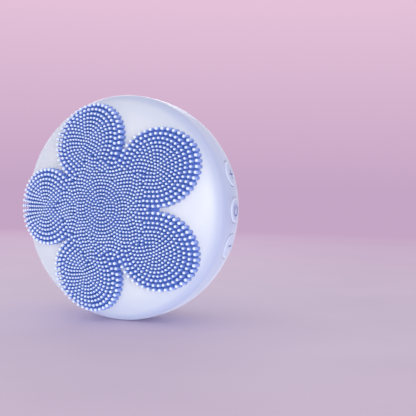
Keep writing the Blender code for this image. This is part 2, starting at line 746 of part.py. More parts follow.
def make_leads():
    """Each lead is one twin cable, from the piece that it feeds to the main board."""
    board_edge_x = -BOARD[0] / 2 - 0.9 * MM
    wire(
        "motor_lead",
        [
            (MOTOR_START_X - 0.8 * MM, 0, MOTOR_Z),
            (-19 * MM, 0, 2.4 * MM),
            (-24 * MM, 0, -1.5 * MM),
            (-25 * MM, 0, -6 * MM),
            (-24 * MM, 0, -11 * MM),
            (board_edge_x, 0, -14.5 * MM),
        ],
        0.6 * MM,
        BLACK,
    )
    wire(
        "battery_lead",
        [
            (16.9 * MM, 0, -9.6 * MM),
            (19 * MM, 0, -9.8 * MM),
            (21.6 * MM, 0, -11.4 * MM),
            (21.2 * MM, 0, -14.5 * MM),
        ],
        0.6 * MM,
        RED_WIRE,
    )
    wire(
        "heater_lead",
        [
            (2 * MM, 0, -15.8 * MM),
            (2.6 * MM, 0, -18 * MM),
            (5.5 * MM, 0, -20.5 * MM),
            (4.5 * MM, 0, -22.6 * MM),
        ],
        0.5 * MM,
        RED_WIRE,
    )


make_skin()
make_bristle_field()
make_rear_stack()
make_plate_module()
make_front_shell()
make_rear_cover()
make_seal_and_screws()
make_keys()
make_contacts()
make_motor()
make_chassis()
make_battery_and_boards()
make_leads()
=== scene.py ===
"""Looks of the facial cleansing brush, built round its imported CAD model.

Pieces are modelled in the brush's own frame: z runs along its axis towards the bristles, z = 0 is its widest
circle, +x points at the keys and y is up. The matrix BRUSH stands that frame in the row frame. Lengths are in
metres."""

import json
import math
import random

import bmesh
import bpy
import numpy as np
from mathutils import Euler, Matrix, Vector


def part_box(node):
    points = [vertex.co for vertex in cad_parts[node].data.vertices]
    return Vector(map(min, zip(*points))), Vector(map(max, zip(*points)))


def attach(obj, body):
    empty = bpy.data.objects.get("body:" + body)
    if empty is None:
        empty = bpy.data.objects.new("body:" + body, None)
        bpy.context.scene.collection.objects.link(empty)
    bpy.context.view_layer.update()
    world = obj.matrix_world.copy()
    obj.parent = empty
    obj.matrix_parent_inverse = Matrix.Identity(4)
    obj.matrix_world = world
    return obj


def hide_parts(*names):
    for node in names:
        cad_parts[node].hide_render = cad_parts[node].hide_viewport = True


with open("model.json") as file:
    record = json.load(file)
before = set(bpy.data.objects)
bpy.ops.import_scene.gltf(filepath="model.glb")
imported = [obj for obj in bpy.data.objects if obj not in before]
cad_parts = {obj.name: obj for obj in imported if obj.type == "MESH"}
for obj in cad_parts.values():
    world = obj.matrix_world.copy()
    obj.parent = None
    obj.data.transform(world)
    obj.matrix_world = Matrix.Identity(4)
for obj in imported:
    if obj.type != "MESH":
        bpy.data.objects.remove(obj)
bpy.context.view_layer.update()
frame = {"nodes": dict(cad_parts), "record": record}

MM = 0.001
SEED = 7

# The skin's form
FRONT_HEIGHT = 15.3 * MM
FRONT_POWER = 2.3
BELT = 2.0 * MM
BACK_HEIGHT = 34.5 * MM
BACK_END_Z = -17.6 * MM
LIP_Z = -18.9 * MM
LIP_RADIUS = 33.95 * MM
SKIN = 1.6 * MM
SKIN_FACETS = 48
RING_FACETS = 40
KEY_SIDE_X = (30 * MM, 45 * MM)  # from inside the body to outside it, beside the keys
RIM_SINK = 0.28 * MM  # how far the skin rolls down into the key openings
RIM_WIDTH = 0.8 * MM

# Bristle flower
PETALS = 5
PETAL_PHASE = math.radians(36)
PETAL_DISTANCE = 24.7 * MM
ROW_DEPTHS = [0, 1.72, 3.38, 4.92, 6.32, 7.62, 8.85, 10.05, 11.2, 12.25]  # from the outer row inwards, in mm
OUTER_ROW = 13.35 * MM
NOTCH = 20.6 * MM
CENTRE_RINGS = 8
CENTRE_PITCH = 1.24 * MM
BRISTLE_LENGTH = 3.8 * MM
BRISTLE_ROOT = 0.25 * MM
BRISTLE_SHARE = 0.385  # a bristle's radius over the distance to its neighbours
SPACING_WIDE = 2.0 * MM  # between bristles at the flower's edge
SPACING_SLIM = 1.12 * MM  # and far inside it
WIDE_ZONE = 5.2 * MM
BRISTLE_SIDES = 12

# Keys
KEY_EDGE = 0.75 * MM
KEY_DEPTH = 1.1 * MM
CAP_GROWTH = 0.12 * MM  # a cap's soft edge covers part of the gap
SYMBOL_HEIGHT = 0.05 * MM
SYMBOL_ROOT = -0.1 * MM
SYMBOL_LINE = 0.56 * MM

# Rings at the back, and the charging face
GAP = 0.3 * MM
BEZEL_FOOT_Z = -21.4 * MM
DIFFUSER_FOOT_Z = -22.9 * MM
PLATE_FLAT = 13.0 * MM
CONTACT_BLOCK = (4.6 * MM, 10 * MM, 3.6 * MM)  # through the wall, round the rim, along the rim
CONTACT_WINDOW = (12 * MM, 11.2 * MM, 4.8 * MM)

# Camera and light
VIEW_AZIMUTH = math.radians(29.7)
VIEW_ELEVATION = math.radians(1.39)
VIEW_DISTANCE = 303.8 * MM
VIEW_PAN = math.radians(5.6)  # the brush stands left of the middle of the picture
VIEW_TILT = math.radians(1.33)
VIEW_ROLL = math.radians(1.0)
VIEW_LENS = 71.0
PAINTED_BLUE_GLOW = (0.05, 0.17, 0.35, 1.0)  # painted glow: emission that stands in for light soaking through the blue silicone
PAINTED_BLUE_GLOW_STRENGTH = 0.18
BACKDROP = (0.80, 0.55, 0.71)
HORIZON = (0.56, 0.38, 0.56)


def row_centre(node):
    low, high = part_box(node)
    return (low + high) / 2


skin_low, skin_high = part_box("silicone_skin")
axis_centre = row_centre("chrome_ring")
BODY_RADIUS = (skin_high.z - skin_low.z) / 2 / math.cos(math.pi / SKIN_FACETS)
ORIGIN = Vector((axis_centre.x, skin_low.y + FRONT_HEIGHT, axis_centre.z))
BRUSH = Matrix.Translation(ORIGIN) @ Matrix.Rotation(math.pi / 2, 4, "X")
KEY_RADIUS = (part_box("power_button_cap")[1].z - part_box("power_button_cap")[0].z) / 2
CAP_RADIUS = KEY_RADIUS + CAP_GROWTH


def in_brush(point):
    return BRUSH.inverted() @ Vector(point)


def turned_size(node):
    """Outer radius, rear z and front z of a turned CAD node, in the brush's frame."""
    low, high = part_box(node)
    radius = (high.z - low.z) / 2 / math.cos(math.pi / RING_FACETS)
    return radius, in_brush(high).z, in_brush(low).z


# ---- the body's form


def front_radius_and_height(t):
    """(radius, z) on the dome, from its middle at t = 0 to the belt at t = 1."""
    angle = t * math.pi / 2
    r = BODY_RADIUS * math.sin(angle) ** (2 / FRONT_POWER)
    z = (FRONT_HEIGHT - BELT) * max(math.cos(angle), 0.0) ** (2 / FRONT_POWER)
    return r, z + BELT


def dome_height(r):
    """z of the dome's surface at a distance r from the axis."""
    inside = max(1 - (r / BODY_RADIUS) ** FRONT_POWER, 0.0)
    return BELT + (FRONT_HEIGHT - BELT) * inside ** (1 / FRONT_POWER)


def back_radius(z):
    depth = max(-z - BELT, 0.0)
    return BODY_RADIUS * math.sqrt(1 - (depth / BACK_HEIGHT) ** 2)


def side_x(y, z):
    """x of the body's surface beside the keys."""
    return math.sqrt(back_radius(z) ** 2 - y**2)


def lip_arc(steps):
    """From the back's ellipse, tangent to it, to the lip's rear face."""
    r = back_radius(BACK_END_Z)
    slope = math.atan2((-BACK_END_Z - BELT) / BACK_HEIGHT**2, r / BODY_RADIUS**2)
    radius = (BACK_END_Z - LIP_Z) / (1 - math.sin(slope))
    centre_r = r - radius * math.cos(slope)
    angles = [slope + (math.pi / 2 - slope) * i / steps for i in range(1, steps + 1)]
    return [(centre_r + radius * math.cos(a), LIP_Z + radius - radius * math.sin(a)) for a in angles]


# ---- mesh helpers


def mesh_from(name, verts, faces):
    mesh = bpy.data.meshes.new(name)
    mesh.from_pydata(verts, [], faces)
    return mesh


def add_object(name, data):
    obj = bpy.data.objects.new(name, data)
    bpy.context.scene.collection.objects.link(obj)
    return obj


def mesh_of(bm, name):
    mesh = bpy.data.meshes.new(name)
    bm.to_mesh(mesh)
    bm.free()
    return mesh


def tidy(mesh, merge=1e-7):
    """Welds what coincides and turns the faces outwards."""
    bm = bmesh.new()
    bm.from_mesh(mesh)
    bmesh.ops.remove_doubles(bm, verts=bm.verts, dist=merge)
    bmesh.ops.recalc_face_normals(bm, faces=bm.faces)
    bm.to_mesh(mesh)
    bm.free()
    return mesh


def even_angles(count):
    return [2 * math.pi * i / count for i in range(count)]


def wrapped_faces(columns, rows, closed=False):
    """Faces between columns of points that go once round. A closed column also joins its own ends."""
    faces = []
    for i in range(columns):
        here = i * rows
        there = (i + 1) % columns * rows
        for j in range(rows if closed else rows - 1):
            k = (j + 1) % rows
            faces.append((here + j, here + k, there + k, there + j))
    return faces


def capped_faces(columns, rows):
    """The same, with a face across the first points and one across the last."""
    first = tuple(column * rows for column in range(columns))
    last = tuple(column * rows + rows - 1 for column in reversed(range(columns)))
    return [*wrapped_faces(columns, rows), first, last]


def lathe(name, profile, angles=None):
    """Turns a profile of (radius, z) points about the axis. One that leaves the axis is closed on itself."""
    angles = angles or even_angles(192)
    closed = profile[0][0] > 1e-9 or profile[-1][0] > 1e-9
    verts = [(r * math.cos(a), r * math.sin(a), z) for a in angles for r, z in profile]
    return tidy(mesh_from(name, verts, wrapped_faces(len(angles), len(profile), closed)))


def rounded(corners, steps=6):
    """A closed outline with each corner (x, y, radius) replaced by an arc of that radius."""
    outline = []
    for i, (x, y, radius) in enumerate(corners):
        here = Vector((x, y))
        before = Vector(corners[i - 1][:2]) - here
        after = Vector(corners[(i + 1) % len(corners)][:2]) - here
        if radius <= 0 or before.length < 1e-9 or after.length < 1e-9:
            outline.append((x, y))
            continue
        before.normalize()
        after.normalize()
        half = before.angle(after) / 2
        reach = radius / math.tan(half)
        centre = here + (before + after).normalized() * (radius / math.sin(half))
        start = here + before * reach - centre
        end = here + after * reach - centre
        turn = start.angle_signed(end)
        for k in range(steps + 1):
            spoke = start.copy()
            spoke.rotate(Matrix.Rotation(-turn * k / steps, 2))
            outline.append(tuple(centre + spoke))
    return outline


def applied(obj):
    """The object's mesh with its modifiers applied."""
    return bpy.data.meshes.new_from_object(obj.evaluated_get(bpy.context.evaluated_depsgraph_get()))


def piece(name, mesh, body, material, replaced=(), sharp=38.0, weighted=True):
    """A visible piece: placed, shaded, riding on a CAD body, and standing for CAD nodes."""
    mesh.name = name
    obj = add_object(name, mesh)
    obj.matrix_world = BRUSH
    mesh.materials.clear()
    mesh.materials.append(material)
    mesh.shade_smooth()
    mesh.set_sharp_from_angle(angle=math.radians(sharp))
    if weighted:
        normals = obj.modifiers.new("normals", "WEIGHTED_NORMAL")
        normals.keep_sharp = True
    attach(obj, body)
    if replaced:
        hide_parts(*replaced)


# ---- material helpers


class Surface:
    """A Principled material under construction. Coordinates are the object's own, in metres."""

    def __init__(self, name, roughness, metallic=0.0, **sockets):
        self.material = bpy.data.materials.new(name)
        self.material.use_nodes = True
        self.tree = self.material.node_tree
        self.shader = self.tree.nodes["Principled BSDF"]
        self.set("Roughness", roughness)
        self.set("Metallic", metallic)
        for socket, value in sockets.items():
            self.set(socket.replace("_", " "), value)
        self.place = self.add("ShaderNodeTexCoord").outputs["Object"]

    def set(self, socket, value):
        self.shader.inputs[socket].default_value = value

    def add(self, kind, inputs=None, **settings):
        node = self.tree.nodes.new(kind)
        for key, value in settings.items():
            setattr(node, key, value)
        for key, value in (inputs or {}).items():
            if isinstance(value, bpy.types.NodeSocket):
                self.tree.links.new(value, node.inputs[key])
            else:
                node.inputs[key].default_value = value
        return node

    def scaled(self, x, y, z):
        mapping = self.add("ShaderNodeMapping", {"Vector": self.place, "Scale": (x, y, z)})
        return mapping.outputs["Vector"]

    def noise(self, size, detail, place=None, rough=0.5):
        """Grey noise whose blobs are about size metres across."""
        inputs = {"Vector": place or self.place, "Scale": 1 / size, "Detail": detail, "Roughness": rough}
        return self.add("ShaderNodeTexNoise", inputs).outputs["Fac"]

    def cells(self, size, feature="F1"):
        inputs = {"Vector": self.place, "Scale": 1 / size}
        return self.add("ShaderNodeTexVoronoi", inputs, feature=feature).outputs["Distance"]

    def plus(self, a, b):
        return self.add("ShaderNodeMath", {0: a, 1: b}, operation="ADD").outputs[0]

    def between(self, value, low, high, to_low=0.0, to_high=1.0):
        """Maps low..high to to_low..to_high, held at the ends."""
        inputs = {"Value": value, "From Min": low, "From Max": high, "To Min": to_low, "To Max": to_high}
        return self.add("ShaderNodeMapRange", inputs, clamp=True).outputs["Result"]

    def part(self, axis):
        return self.add("ShaderNodeSeparateXYZ", {"Vector": self.place}).outputs[axis]

    def radius(self):
        """Distance from the brush's axis."""
        flat = self.scaled(1, 1, 0)
        return self.add("ShaderNodeVectorMath", {0: flat}, operation="LENGTH").outputs["Value"]

    def turning(self, size, detail):
        """Noise in fine rings round the axis, as a lathe leaves them."""
        place = self.add("ShaderNodeCombineXYZ", {"X": self.radius()}).outputs["Vector"]
        return self.noise(size, detail, place)

    def cloud(self, size, detail):
        """Soft noise that fills 0 to 1."""
        return self.between(self.noise(size, detail), 0.3, 0.7)

    def ramp(self, fac, stops, interpolation="EASE"):
        node = self.add("ShaderNodeValToRGB", {"Fac": fac})
        ramp = node.color_ramp
        ramp.interpolation = interpolation
        while len(ramp.elements) < len(stops):
            ramp.elements.new(0.5)
        for element, (position, colour) in zip(ramp.elements, stops):
            element.position = position
            element.color = (*colour, 1.0)
        return node.outputs["Color"]

    def mix(self, fac, a, b):
        inputs = {"Factor": fac, 6: as_colour(a), 7: as_colour(b)}
        return self.add("ShaderNodeMix", inputs, data_type="RGBA").outputs[2]

    def link(self, value, socket):
        self.tree.links.new(value, self.shader.inputs[socket])

    def bump(self, height, depth, below=None):
        """Relief of the given depth in metres, laid over another bump if there is one."""
        inputs = {"Height": height, "Distance": depth, "Strength": 1.0}
        if below is not None:
            inputs["Normal"] = below
        return self.add("ShaderNodeBump", inputs).outputs["Normal"]

    def vary_roughness(self, value, low, high):
        self.link(self.between(value, 0.3, 0.7, low, high), "Roughness")


def as_colour(value):
    return value if isinstance(value, bpy.types.NodeSocket) else (*value, 1.0)


def lavender_silicone():
    """Satin silicone with a faint mottling, with a painted glare that makes the front dome paler, painted
    shade towards the belt and a painted highlight round the keys' edges.
    """
    s = Surface("lavender_silicone", 0.42, Subsurface_Weight=0.12, Subsurface_Scale=0.002, Coat_Weight=0.9)
    s.set("Sheen Weight", 0.35)
    s.set("Sheen Roughness", 0.35)
    s.set("Subsurface Radius", (0.8, 0.9, 1.0))
    s.set("Coat Roughness", 0.42)
    # Painted glare and shade: by height along the axis the colour runs from a darker lavender near the belt
    # to a paler one over the front dome.
    front = s.between(s.part("Z"), 1 * MM, 13 * MM)
    stops = [
        (0.0, (0.400, 0.460, 0.700)),
        (0.25, (0.420, 0.480, 0.710)),
        (0.42, (0.470, 0.530, 0.720)),
        (0.62, (0.590, 0.640, 0.745)),
        (1.0, (0.700, 0.735, 0.780)),
    ]
    painted_light_tint = s.ramp(front, stops)
    # Painted highlight: a paler lavender round each key's edge, where the cap's rounded edge catches the
    # light. The 'rim' attribute says where.
    rim = s.add("ShaderNodeAttribute", attribute_name="rim").outputs["Fac"]
    painted_light_tint = s.mix(rim, painted_light_tint, (0.60, 0.66, 0.84))
    cloud = s.cloud(9 * MM, 3.0)
    s.link(s.mix(cloud, painted_light_tint, s.mix(0.06, painted_light_tint, (0.30, 0.34, 0.72))), "Base Color")
    grain = s.noise(0.25 * MM, 1.0)
    s.vary_roughness(s.noise(1.6 * MM, 3.0), 0.38, 0.47)
    waves = s.bump(s.noise(6 * MM, 1.0), 0.008 * MM)
    s.link(s.bump(grain, 0.001 * MM, waves), "Normal")
    return s.material


def bristle_silicone():
    """Translucent periwinkle, with painted shade that makes it deep blue at the feet between the bristles,
    and a painted highlight that makes it almost white at the rounded tips.
    """
    s = Surface("bristle_silicone", 0.3, Subsurface_Weight=0.1, Subsurface_Scale=0.001, Coat_Weight=0.2)
    # Painted glow: a faint blue emission stands in for light that soaks through the bristles.
    s.set("Emission Color", PAINTED_BLUE_GLOW)
    s.set("Emission Strength", PAINTED_BLUE_GLOW_STRENGTH)
    s.set("Subsurface Radius", (0.5, 0.6, 1.0))
    s.set("Coat Roughness", 0.2)
    tip = s.add("ShaderNodeAttribute", attribute_name="tip").outputs["Fac"]
    uneven = s.between(s.noise(1.3 * MM, 1.0), 0.3, 0.7, -0.02, 0.02)
    height = s.plus(tip, uneven)
    # Painted shade and highlight: deep blue at the feet where the bristles shade each other, the bristle's
    # own periwinkle in between, near white at the tips where they catch the light.
    stops = [
        (0.0, (0.105, 0.165, 0.560)),
        (0.40, (0.190, 0.270, 0.660)),
        (0.84, (0.325, 0.415, 0.800)),
        (0.89, (0.500, 0.590, 0.880)),
        (0.935, (0.720, 0.780, 0.930)),
    ]
    s.link(s.ramp(height, stops, "LINEAR"), "Base Color")
    s.vary_roughness(s.noise(0.5 * MM, 2.0), 0.24, 0.36)
    s.link(s.bump(s.noise(0.2 * MM, 2.0), 0.004 * MM), "Normal")
    return s.material


def flower_blue():
    s = Surface("flower_blue", 0.5)
    # Painted glow: a faint blue emission stands in for light that soaks through the pad.
    s.set("Emission Color", PAINTED_BLUE_GLOW)
    s.set("Emission Strength", PAINTED_BLUE_GLOW_STRENGTH)
    cloud = s.cloud(2 * MM, 3.0)
    s.link(s.mix(cloud, (0.080, 0.150, 0.560), (0.100, 0.180, 0.620)), "Base Color")
    s.vary_roughness(cloud, 0.45, 0.6)
    s.link(s.bump(s.noise(0.15 * MM, 2.0), 0.005 * MM), "Normal")
    return s.material


def symbol_blue():
    s = Surface("symbol_blue", 0.4)
    cloud = s.cloud(0.8 * MM, 2.0)
    s.link(s.mix(cloud, (0.040, 0.060, 0.330), (0.060, 0.085, 0.400)), "Base Color")
    s.vary_roughness(cloud, 0.35, 0.45)
    return s.material


def gloss_white():
    """High-gloss white, with the faint orange peel of a lacquered moulding."""
    s = Surface("gloss_white", 0.12, Coat_Weight=0.6)
    s.set("Coat Roughness", 0.04)
    cloud = s.cloud(14 * MM, 2.0)
    s.link(s.mix(cloud, (0.80, 0.83, 0.87), (0.84, 0.87, 0.90)), "Base Color")
    s.vary_roughness(s.noise(2 * MM, 2.0), 0.10, 0.16)
    s.link(s.bump(s.noise(1.5 * MM, 1.0), 0.003 * MM), "Normal")
    return s.material


def chrome(rear_z, front_z):
    """Mirror plating with painted reflections: its side wall is painted almost black as a dark reflection,
    between painted bright reflections at its edges.
    """
    s = Surface("chrome", 0.07, 1.0)
    s.set("Specular Tint", (0.5, 0.5, 0.6, 1.0))
    height = s.between(s.part("Z"), rear_z, front_z)
    # Painted reflections along the axis: pale at the rear face, near black up the side wall, bright towards
    # the front edge.
    painted_bright_reflection = (0.86, 0.88, 0.94)
    painted_dark_reflection = (0.006, 0.007, 0.020)
    pale = (0.62, 0.64, 0.80)
    stops = [(0.0, pale), (0.02, pale), (0.045, painted_dark_reflection), (0.60, painted_dark_reflection), (0.66, painted_bright_reflection)]
    painted_reflection_band = s.ramp(height, stops, "LINEAR")
    streak = s.noise(6 * MM, 3.0, s.scaled(1, 1, 8))
    s.link(s.mix(s.between(streak, 0.3, 0.7, 0.0, 0.03), painted_reflection_band, (0.30, 0.31, 0.42)), "Base Color")
    s.vary_roughness(s.noise(1 * MM, 3.0), 0.05, 0.11)
    s.link(s.bump(s.noise(5 * MM, 1.0), 0.004 * MM), "Normal")
    return s.material


def silver_trim():
    """Satin silver, turned with fine rings."""
    s = Surface("silver_trim", 0.28, 0.9)
    rings = s.turning(0.12 * MM, 1.0)
    s.link(s.mix(s.between(rings, 0.3, 0.7), (0.48, 0.52, 0.62), (0.72, 0.76, 0.86)), "Base Color")
    s.vary_roughness(rings, 0.20, 0.34)
    s.link(s.bump(rings, 0.006 * MM), "Normal")
    return s.material


def glowing(name, inner, outer, stops, strength, roughness):
    """Lit plastic whose colour runs from one radius to another, with the soft unevenness of a light guide."""
    s = Surface(name, roughness, Coat_Weight=0.4, Emission_Strength=strength)
    s.set("Coat Roughness", 0.08)
    across = s.between(s.radius(), inner, outer)
    colour = s.ramp(across, stops)
    cloud = s.between(s.noise(7 * MM, 2.0), 0.3, 0.7, 0.0, 0.16)
    varied = s.mix(cloud, colour, s.mix(0.5, colour, (0.75, 0.88, 1.0)))
    s.link(varied, "Base Color")
    s.link(varied, "Emission Color")
    s.vary_roughness(s.noise(1 * MM, 2.0), roughness * 0.85, roughness * 1.25)
    s.link(s.bump(s.noise(0.4 * MM, 2.0), 0.002 * MM), "Normal")
    return s.material


def polished_plate(radius):
    """Polished steel with a painted warm glow in the middle, bluer towards the edge and a painted highlight
    line at the very edge, with a hairline polish.
    """
    s = Surface("polished_plate", 0.22, 0.4, Coat_Weight=0.3)
    s.set("Coat Roughness", 0.1)
    across = s.between(s.radius(), 0.0, radius)
    # Painted light across the plate: a warm glow in the middle, blue towards the edge, a highlight line at
    # the very edge.
    stops = [
        (0.0, (0.84, 0.83, 0.78)),
        (0.38, (0.76, 0.77, 0.76)),
        (0.72, (0.36, 0.49, 0.67)),
        (0.94, (0.19, 0.35, 0.61)),
        (0.98, (0.60, 0.74, 0.90)),
    ]
    colour = s.ramp(across, stops)
    rings = s.turning(0.2 * MM, 2.0)
    s.link(s.mix(s.between(rings, 0.3, 0.7, 0.0, 0.10), colour, (0.9, 0.93, 1.0)), "Base Color")
    s.vary_roughness(rings, 0.18, 0.27)
    s.link(s.bump(rings, 0.0015 * MM), "Normal")
    return s.material


def plastic(name, low, high, roughness=0.5, grain=0.25 * MM, depth=0.012 * MM):
    """Moulded plastic or rubber with a spark-eroded grain."""
    s = Surface(name, roughness)
    cloud = s.cloud(5 * MM, 3.0)
    s.link(s.mix(cloud, low, high), "Base Color")
    s.vary_roughness(s.noise(1.2 * MM, 2.0), roughness - 0.07, roughness + 0.08)
    s.link(s.bump(s.noise(grain, 3.0), depth), "Normal")
    return s.material


def metal(name, low, high, roughness, stretch=(1, 1, 1), grain=0.15 * MM, depth=0.004 * MM):
    """Metal with scratches drawn out along the axes that are stretched by less than one."""
    s = Surface(name, roughness, 1.0)
    lines = s.noise(grain, 3.0, s.scaled(*stretch))
    s.link(s.mix(s.between(lines, 0.3, 0.7), low, high), "Base Color")
    s.vary_roughness(lines, roughness - 0.05, roughness + 0.1)
    s.link(s.bump(lines, depth), "Normal")
    return s.material


def circuit_board():
    """Green solder mask over copper tracks, with tinned pads."""
    s = Surface("circuit_board", 0.35, Coat_Weight=0.3)
    tracks = s.between(s.cells(2.2 * MM, "DISTANCE_TO_EDGE"), 0.05, 0.09)
    board = s.mix(tracks, (0.020, 0.200, 0.075), (0.008, 0.105, 0.040))
    pads = s.between(s.cells(1.7 * MM), 0.16, 0.12)
    s.link(s.mix(pads, board, (0.62, 0.60, 0.50)), "Base Color")
    s.link(s.between(pads, 0.0, 1.0, 0.35, 0.22), "Roughness")
    s.link(pads, "Metallic")
    s.link(s.bump(tracks, -0.02 * MM), "Normal")
    return s.material


def foam():
    s = Surface("foam", 0.9)
    pores = s.cells(0.45 * MM)
    s.link(s.mix(s.between(pores, 0.1, 0.6), (0.025, 0.025, 0.032), (0.075, 0.075, 0.088)), "Base Color")
    s.vary_roughness(pores, 0.85, 0.95)
    s.link(s.bump(pores, 0.12 * MM), "Normal")
    return s.material


def battery_foil():
    s = Surface("battery_foil", 0.3, 0.9)
    creases = s.noise(3 * MM, 4.0, None, 0.6)
    s.link(s.mix(s.between(creases, 0.3, 0.7), (0.52, 0.53, 0.56), (0.72, 0.73, 0.76)), "Base Color")
    s.vary_roughness(creases, 0.22, 0.42)
    s.link(s.bump(creases, 0.12 * MM), "Normal")
    return s.material


def heater_film():
    """Amber film over a meandering copper track."""
    s = Surface("heater_film", 0.3, Coat_Weight=0.5)
    wave = s.add("ShaderNodeTexWave", {"Vector": s.place, "Scale": 160.0, "Distortion": 3.0, "Detail": 1.0})
    track = s.between(wave.outputs["Fac"], 0.55, 0.65)
    s.link(s.mix(track, (0.66, 0.25, 0.035), (0.33, 0.10, 0.02)), "Base Color")
    s.link(s.bump(track, 0.03 * MM), "Normal")
    return s.material


def copper_winding():
    """Enamelled wire wound round the shaft, shown as fine ridges."""
    s = Surface("copper_winding", 0.3, 0.8)
    inputs = {"Vector": s.place, "Scale": 900.0, "Distortion": 0.4}
    wave = s.add("ShaderNodeTexWave", inputs, bands_direction="X")
    ridges = wave.outputs["Fac"]
    s.link(s.mix(ridges, (0.22, 0.065, 0.02), (0.80, 0.36, 0.14)), "Base Color")
    s.vary_roughness(ridges, 0.25, 0.4)
    s.link(s.bump(ridges, 0.08 * MM), "Normal")
    return s.material


def led_lens():
    s = Surface("led", 0.15, Coat_Weight=0.5, Emission_Strength=0.3)
    spot = s.between(s.cells(1.2 * MM), 0.1, 0.5)
    colour = s.mix(spot, (0.95, 0.85, 0.30), (0.80, 0.88, 1.0))
    s.link(colour, "Base Color")
    s.link(colour, "Emission Color")
    s.link(s.bump(spot, 0.03 * MM), "Normal")
    return s.material


# ---- the silicone body


def key_places():
    """The keys' names with their middles, as (y, z) in the brush's frame."""
    places = {}
    for name in ("plus", "power", "minus"):
        low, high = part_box(f"{name}_button_cap")
        middle = in_brush((low + high) / 2)
        places[name] = (middle.y, middle.z)
    return places


def skin_angles():
    """Columns round the skin, close together where the keys and the contacts are."""
    half = math.radians(32)
    fine = [-half + 2 * half * i / 140 for i in range(140)]
    coarse = [half + (2 * math.pi - 2 * half) * i / 130 for i in range(130)]
    return fine + coarse


def skin_profile():
    dome = [front_radius_and_height(i / 56) for i in range(57)]
    back_steps = 52
    heights = [BELT - (BELT - BACK_END_Z) * i / back_steps for i in range(1, back_steps + 1)]
    back = [(back_radius(z), z) for z in heights]
    outer = dome + back + lip_arc(8)
    lip_top = LIP_Z + SKIN
    edge = 0.35 * MM
    turn = [math.pi / 2 * i / 4 for i in range(5)]
    lip = [(LIP_RADIUS + edge - edge * math.sin(a), LIP_Z + edge - edge * math.cos(a)) for a in turn]
    inner = [(back_radius(lip_top) - 1.3 * SKIN, lip_top)]
    rows = 12
    for i in range(1, rows + 1):
        z = lip_top + SKIN + (BELT - lip_top - SKIN) * i / rows
        inner.append((back_radius(z) - SKIN, z))
    for i in range(rows, -1, -1):
        r, z = front_radius_and_height(i / rows * 0.97)
        inner.append((max(r - SKIN * (i / rows) ** 3, 0.0), z - SKIN))
    return outer + lip + [(LIP_RADIUS, lip_top)] + inner


def roll_into_keys(mesh, places):
    """Rolls the outer surface down round each key opening."""
    hole = KEY_RADIUS + GAP
    for vert in mesh.vertices:
        x, y, z = vert.co
        if x < KEY_SIDE_X[0] or math.hypot(x, y) < back_radius(z) - 0.5 * SKIN:
            continue
        for key_y, key_z in places:
            away = max(math.hypot(y - key_y, z - key_z) - hole, 0.0)
            if away < RIM_WIDTH:
                vert.co.x -= RIM_SINK * (1 - away / RIM_WIDTH) ** 2


def cutter_object(mesh, matrix=Matrix.Identity(4)):
    mesh.transform(matrix)
    return add_object("cutter", mesh)


def bar_mesh(radius, x_from, x_to, y, z, sides=72):
    """A round bar along x."""
    bm = bmesh.new()
    place = Matrix.Translation(((x_from + x_to) / 2, y, z)) @ Matrix.Rotation(math.pi / 2, 4, "Y")
    size = {"radius1": radius, "radius2": radius, "depth": x_to - x_from}
    bmesh.ops.create_cone(bm, cap_ends=True, segments=sides, matrix=place, **size)
    return mesh_of(bm, "bar")


def contact_place():
    """The middle of the charging face and its outward direction, in the brush's frame."""
    mount = next(m for m in frame["record"]["mounts"] if m["name"] == "charge_face")
    return in_brush(mount["pos_m"]), (BRUSH.inverted().to_3x3() @ Vector(mount["axis"])).normalized()


def contact_matrix():
    """x out of the charging face, y along the brush's own y."""
    point, out = contact_place()
    side = Vector((0, 1, 0))
    turn = Matrix((out, side, out.cross(side))).transposed()
    return Matrix.Translation(point) @ turn.to_4x4()


def box_mesh(size, edge, segments=3, centre=(0, 0, 0)):
    bm = bmesh.new()
    bmesh.ops.create_cube(bm, size=1.0, matrix=Matrix.Translation(centre) @ Matrix.Diagonal((*size, 1)))
    bmesh.ops.bevel(bm, geom=bm.edges[:], offset=edge, segments=segments, profile=0.5, affect="EDGES")
    return mesh_of(bm, "box")


def make_skin(material):
    places = key_places().values()
    mesh = lathe("silicone_skin", skin_profile(), skin_angles())
    roll_into_keys(mesh, places)
    body = add_object("skin_uncut", mesh)
    cutters = [cutter_object(bar_mesh(KEY_RADIUS + GAP, *KEY_SIDE_X, y, z)) for y, z in places]
    window = box_mesh(CONTACT_WINDOW, 0.6 * MM)
    cutters.append(cutter_object(window, contact_matrix()))
    for tool in cutters:
        cut = body.modifiers.new("opening", "BOOLEAN")
        cut.operation = "DIFFERENCE"
        cut.object = tool
    result = applied(body)
    for obj in (body, *cutters):
        bpy.data.objects.remove(obj)
    piece("silicone_body", result, "root", material, ["silicone_skin"], 40, False)


# ---- the flower of bristles


def flower_edge(angle):
    """Distance from the axis to the flower's edge, through the outer rows' feet."""
    step = 2 * math.pi / PETALS
    away = (angle - PETAL_PHASE + step / 2) % step - step / 2
    inside = OUTER_ROW**2 - (PETAL_DISTANCE * math.sin(away)) ** 2
    if inside <= 0:
        return NOTCH
    return max(PETAL_DISTANCE * math.cos(away) + math.sqrt(inside), NOTCH)


def outline_point(angle):
    return flower_edge(angle) * math.cos(angle), flower_edge(angle) * math.sin(angle)


FLOWER_OUTLINE = np.array([outline_point(a) for a in even_angles(720)])


def spacing_at(x, y):
    """Distance between neighbouring bristles, which shrinks from the flower's edge inwards."""
    depth = np.hypot(FLOWER_OUTLINE[:, 0] - x, FLOWER_OUTLINE[:, 1] - y).min()
    return SPACING_SLIM + (SPACING_WIDE - SPACING_SLIM) * math.exp(-depth / WIDE_ZONE)


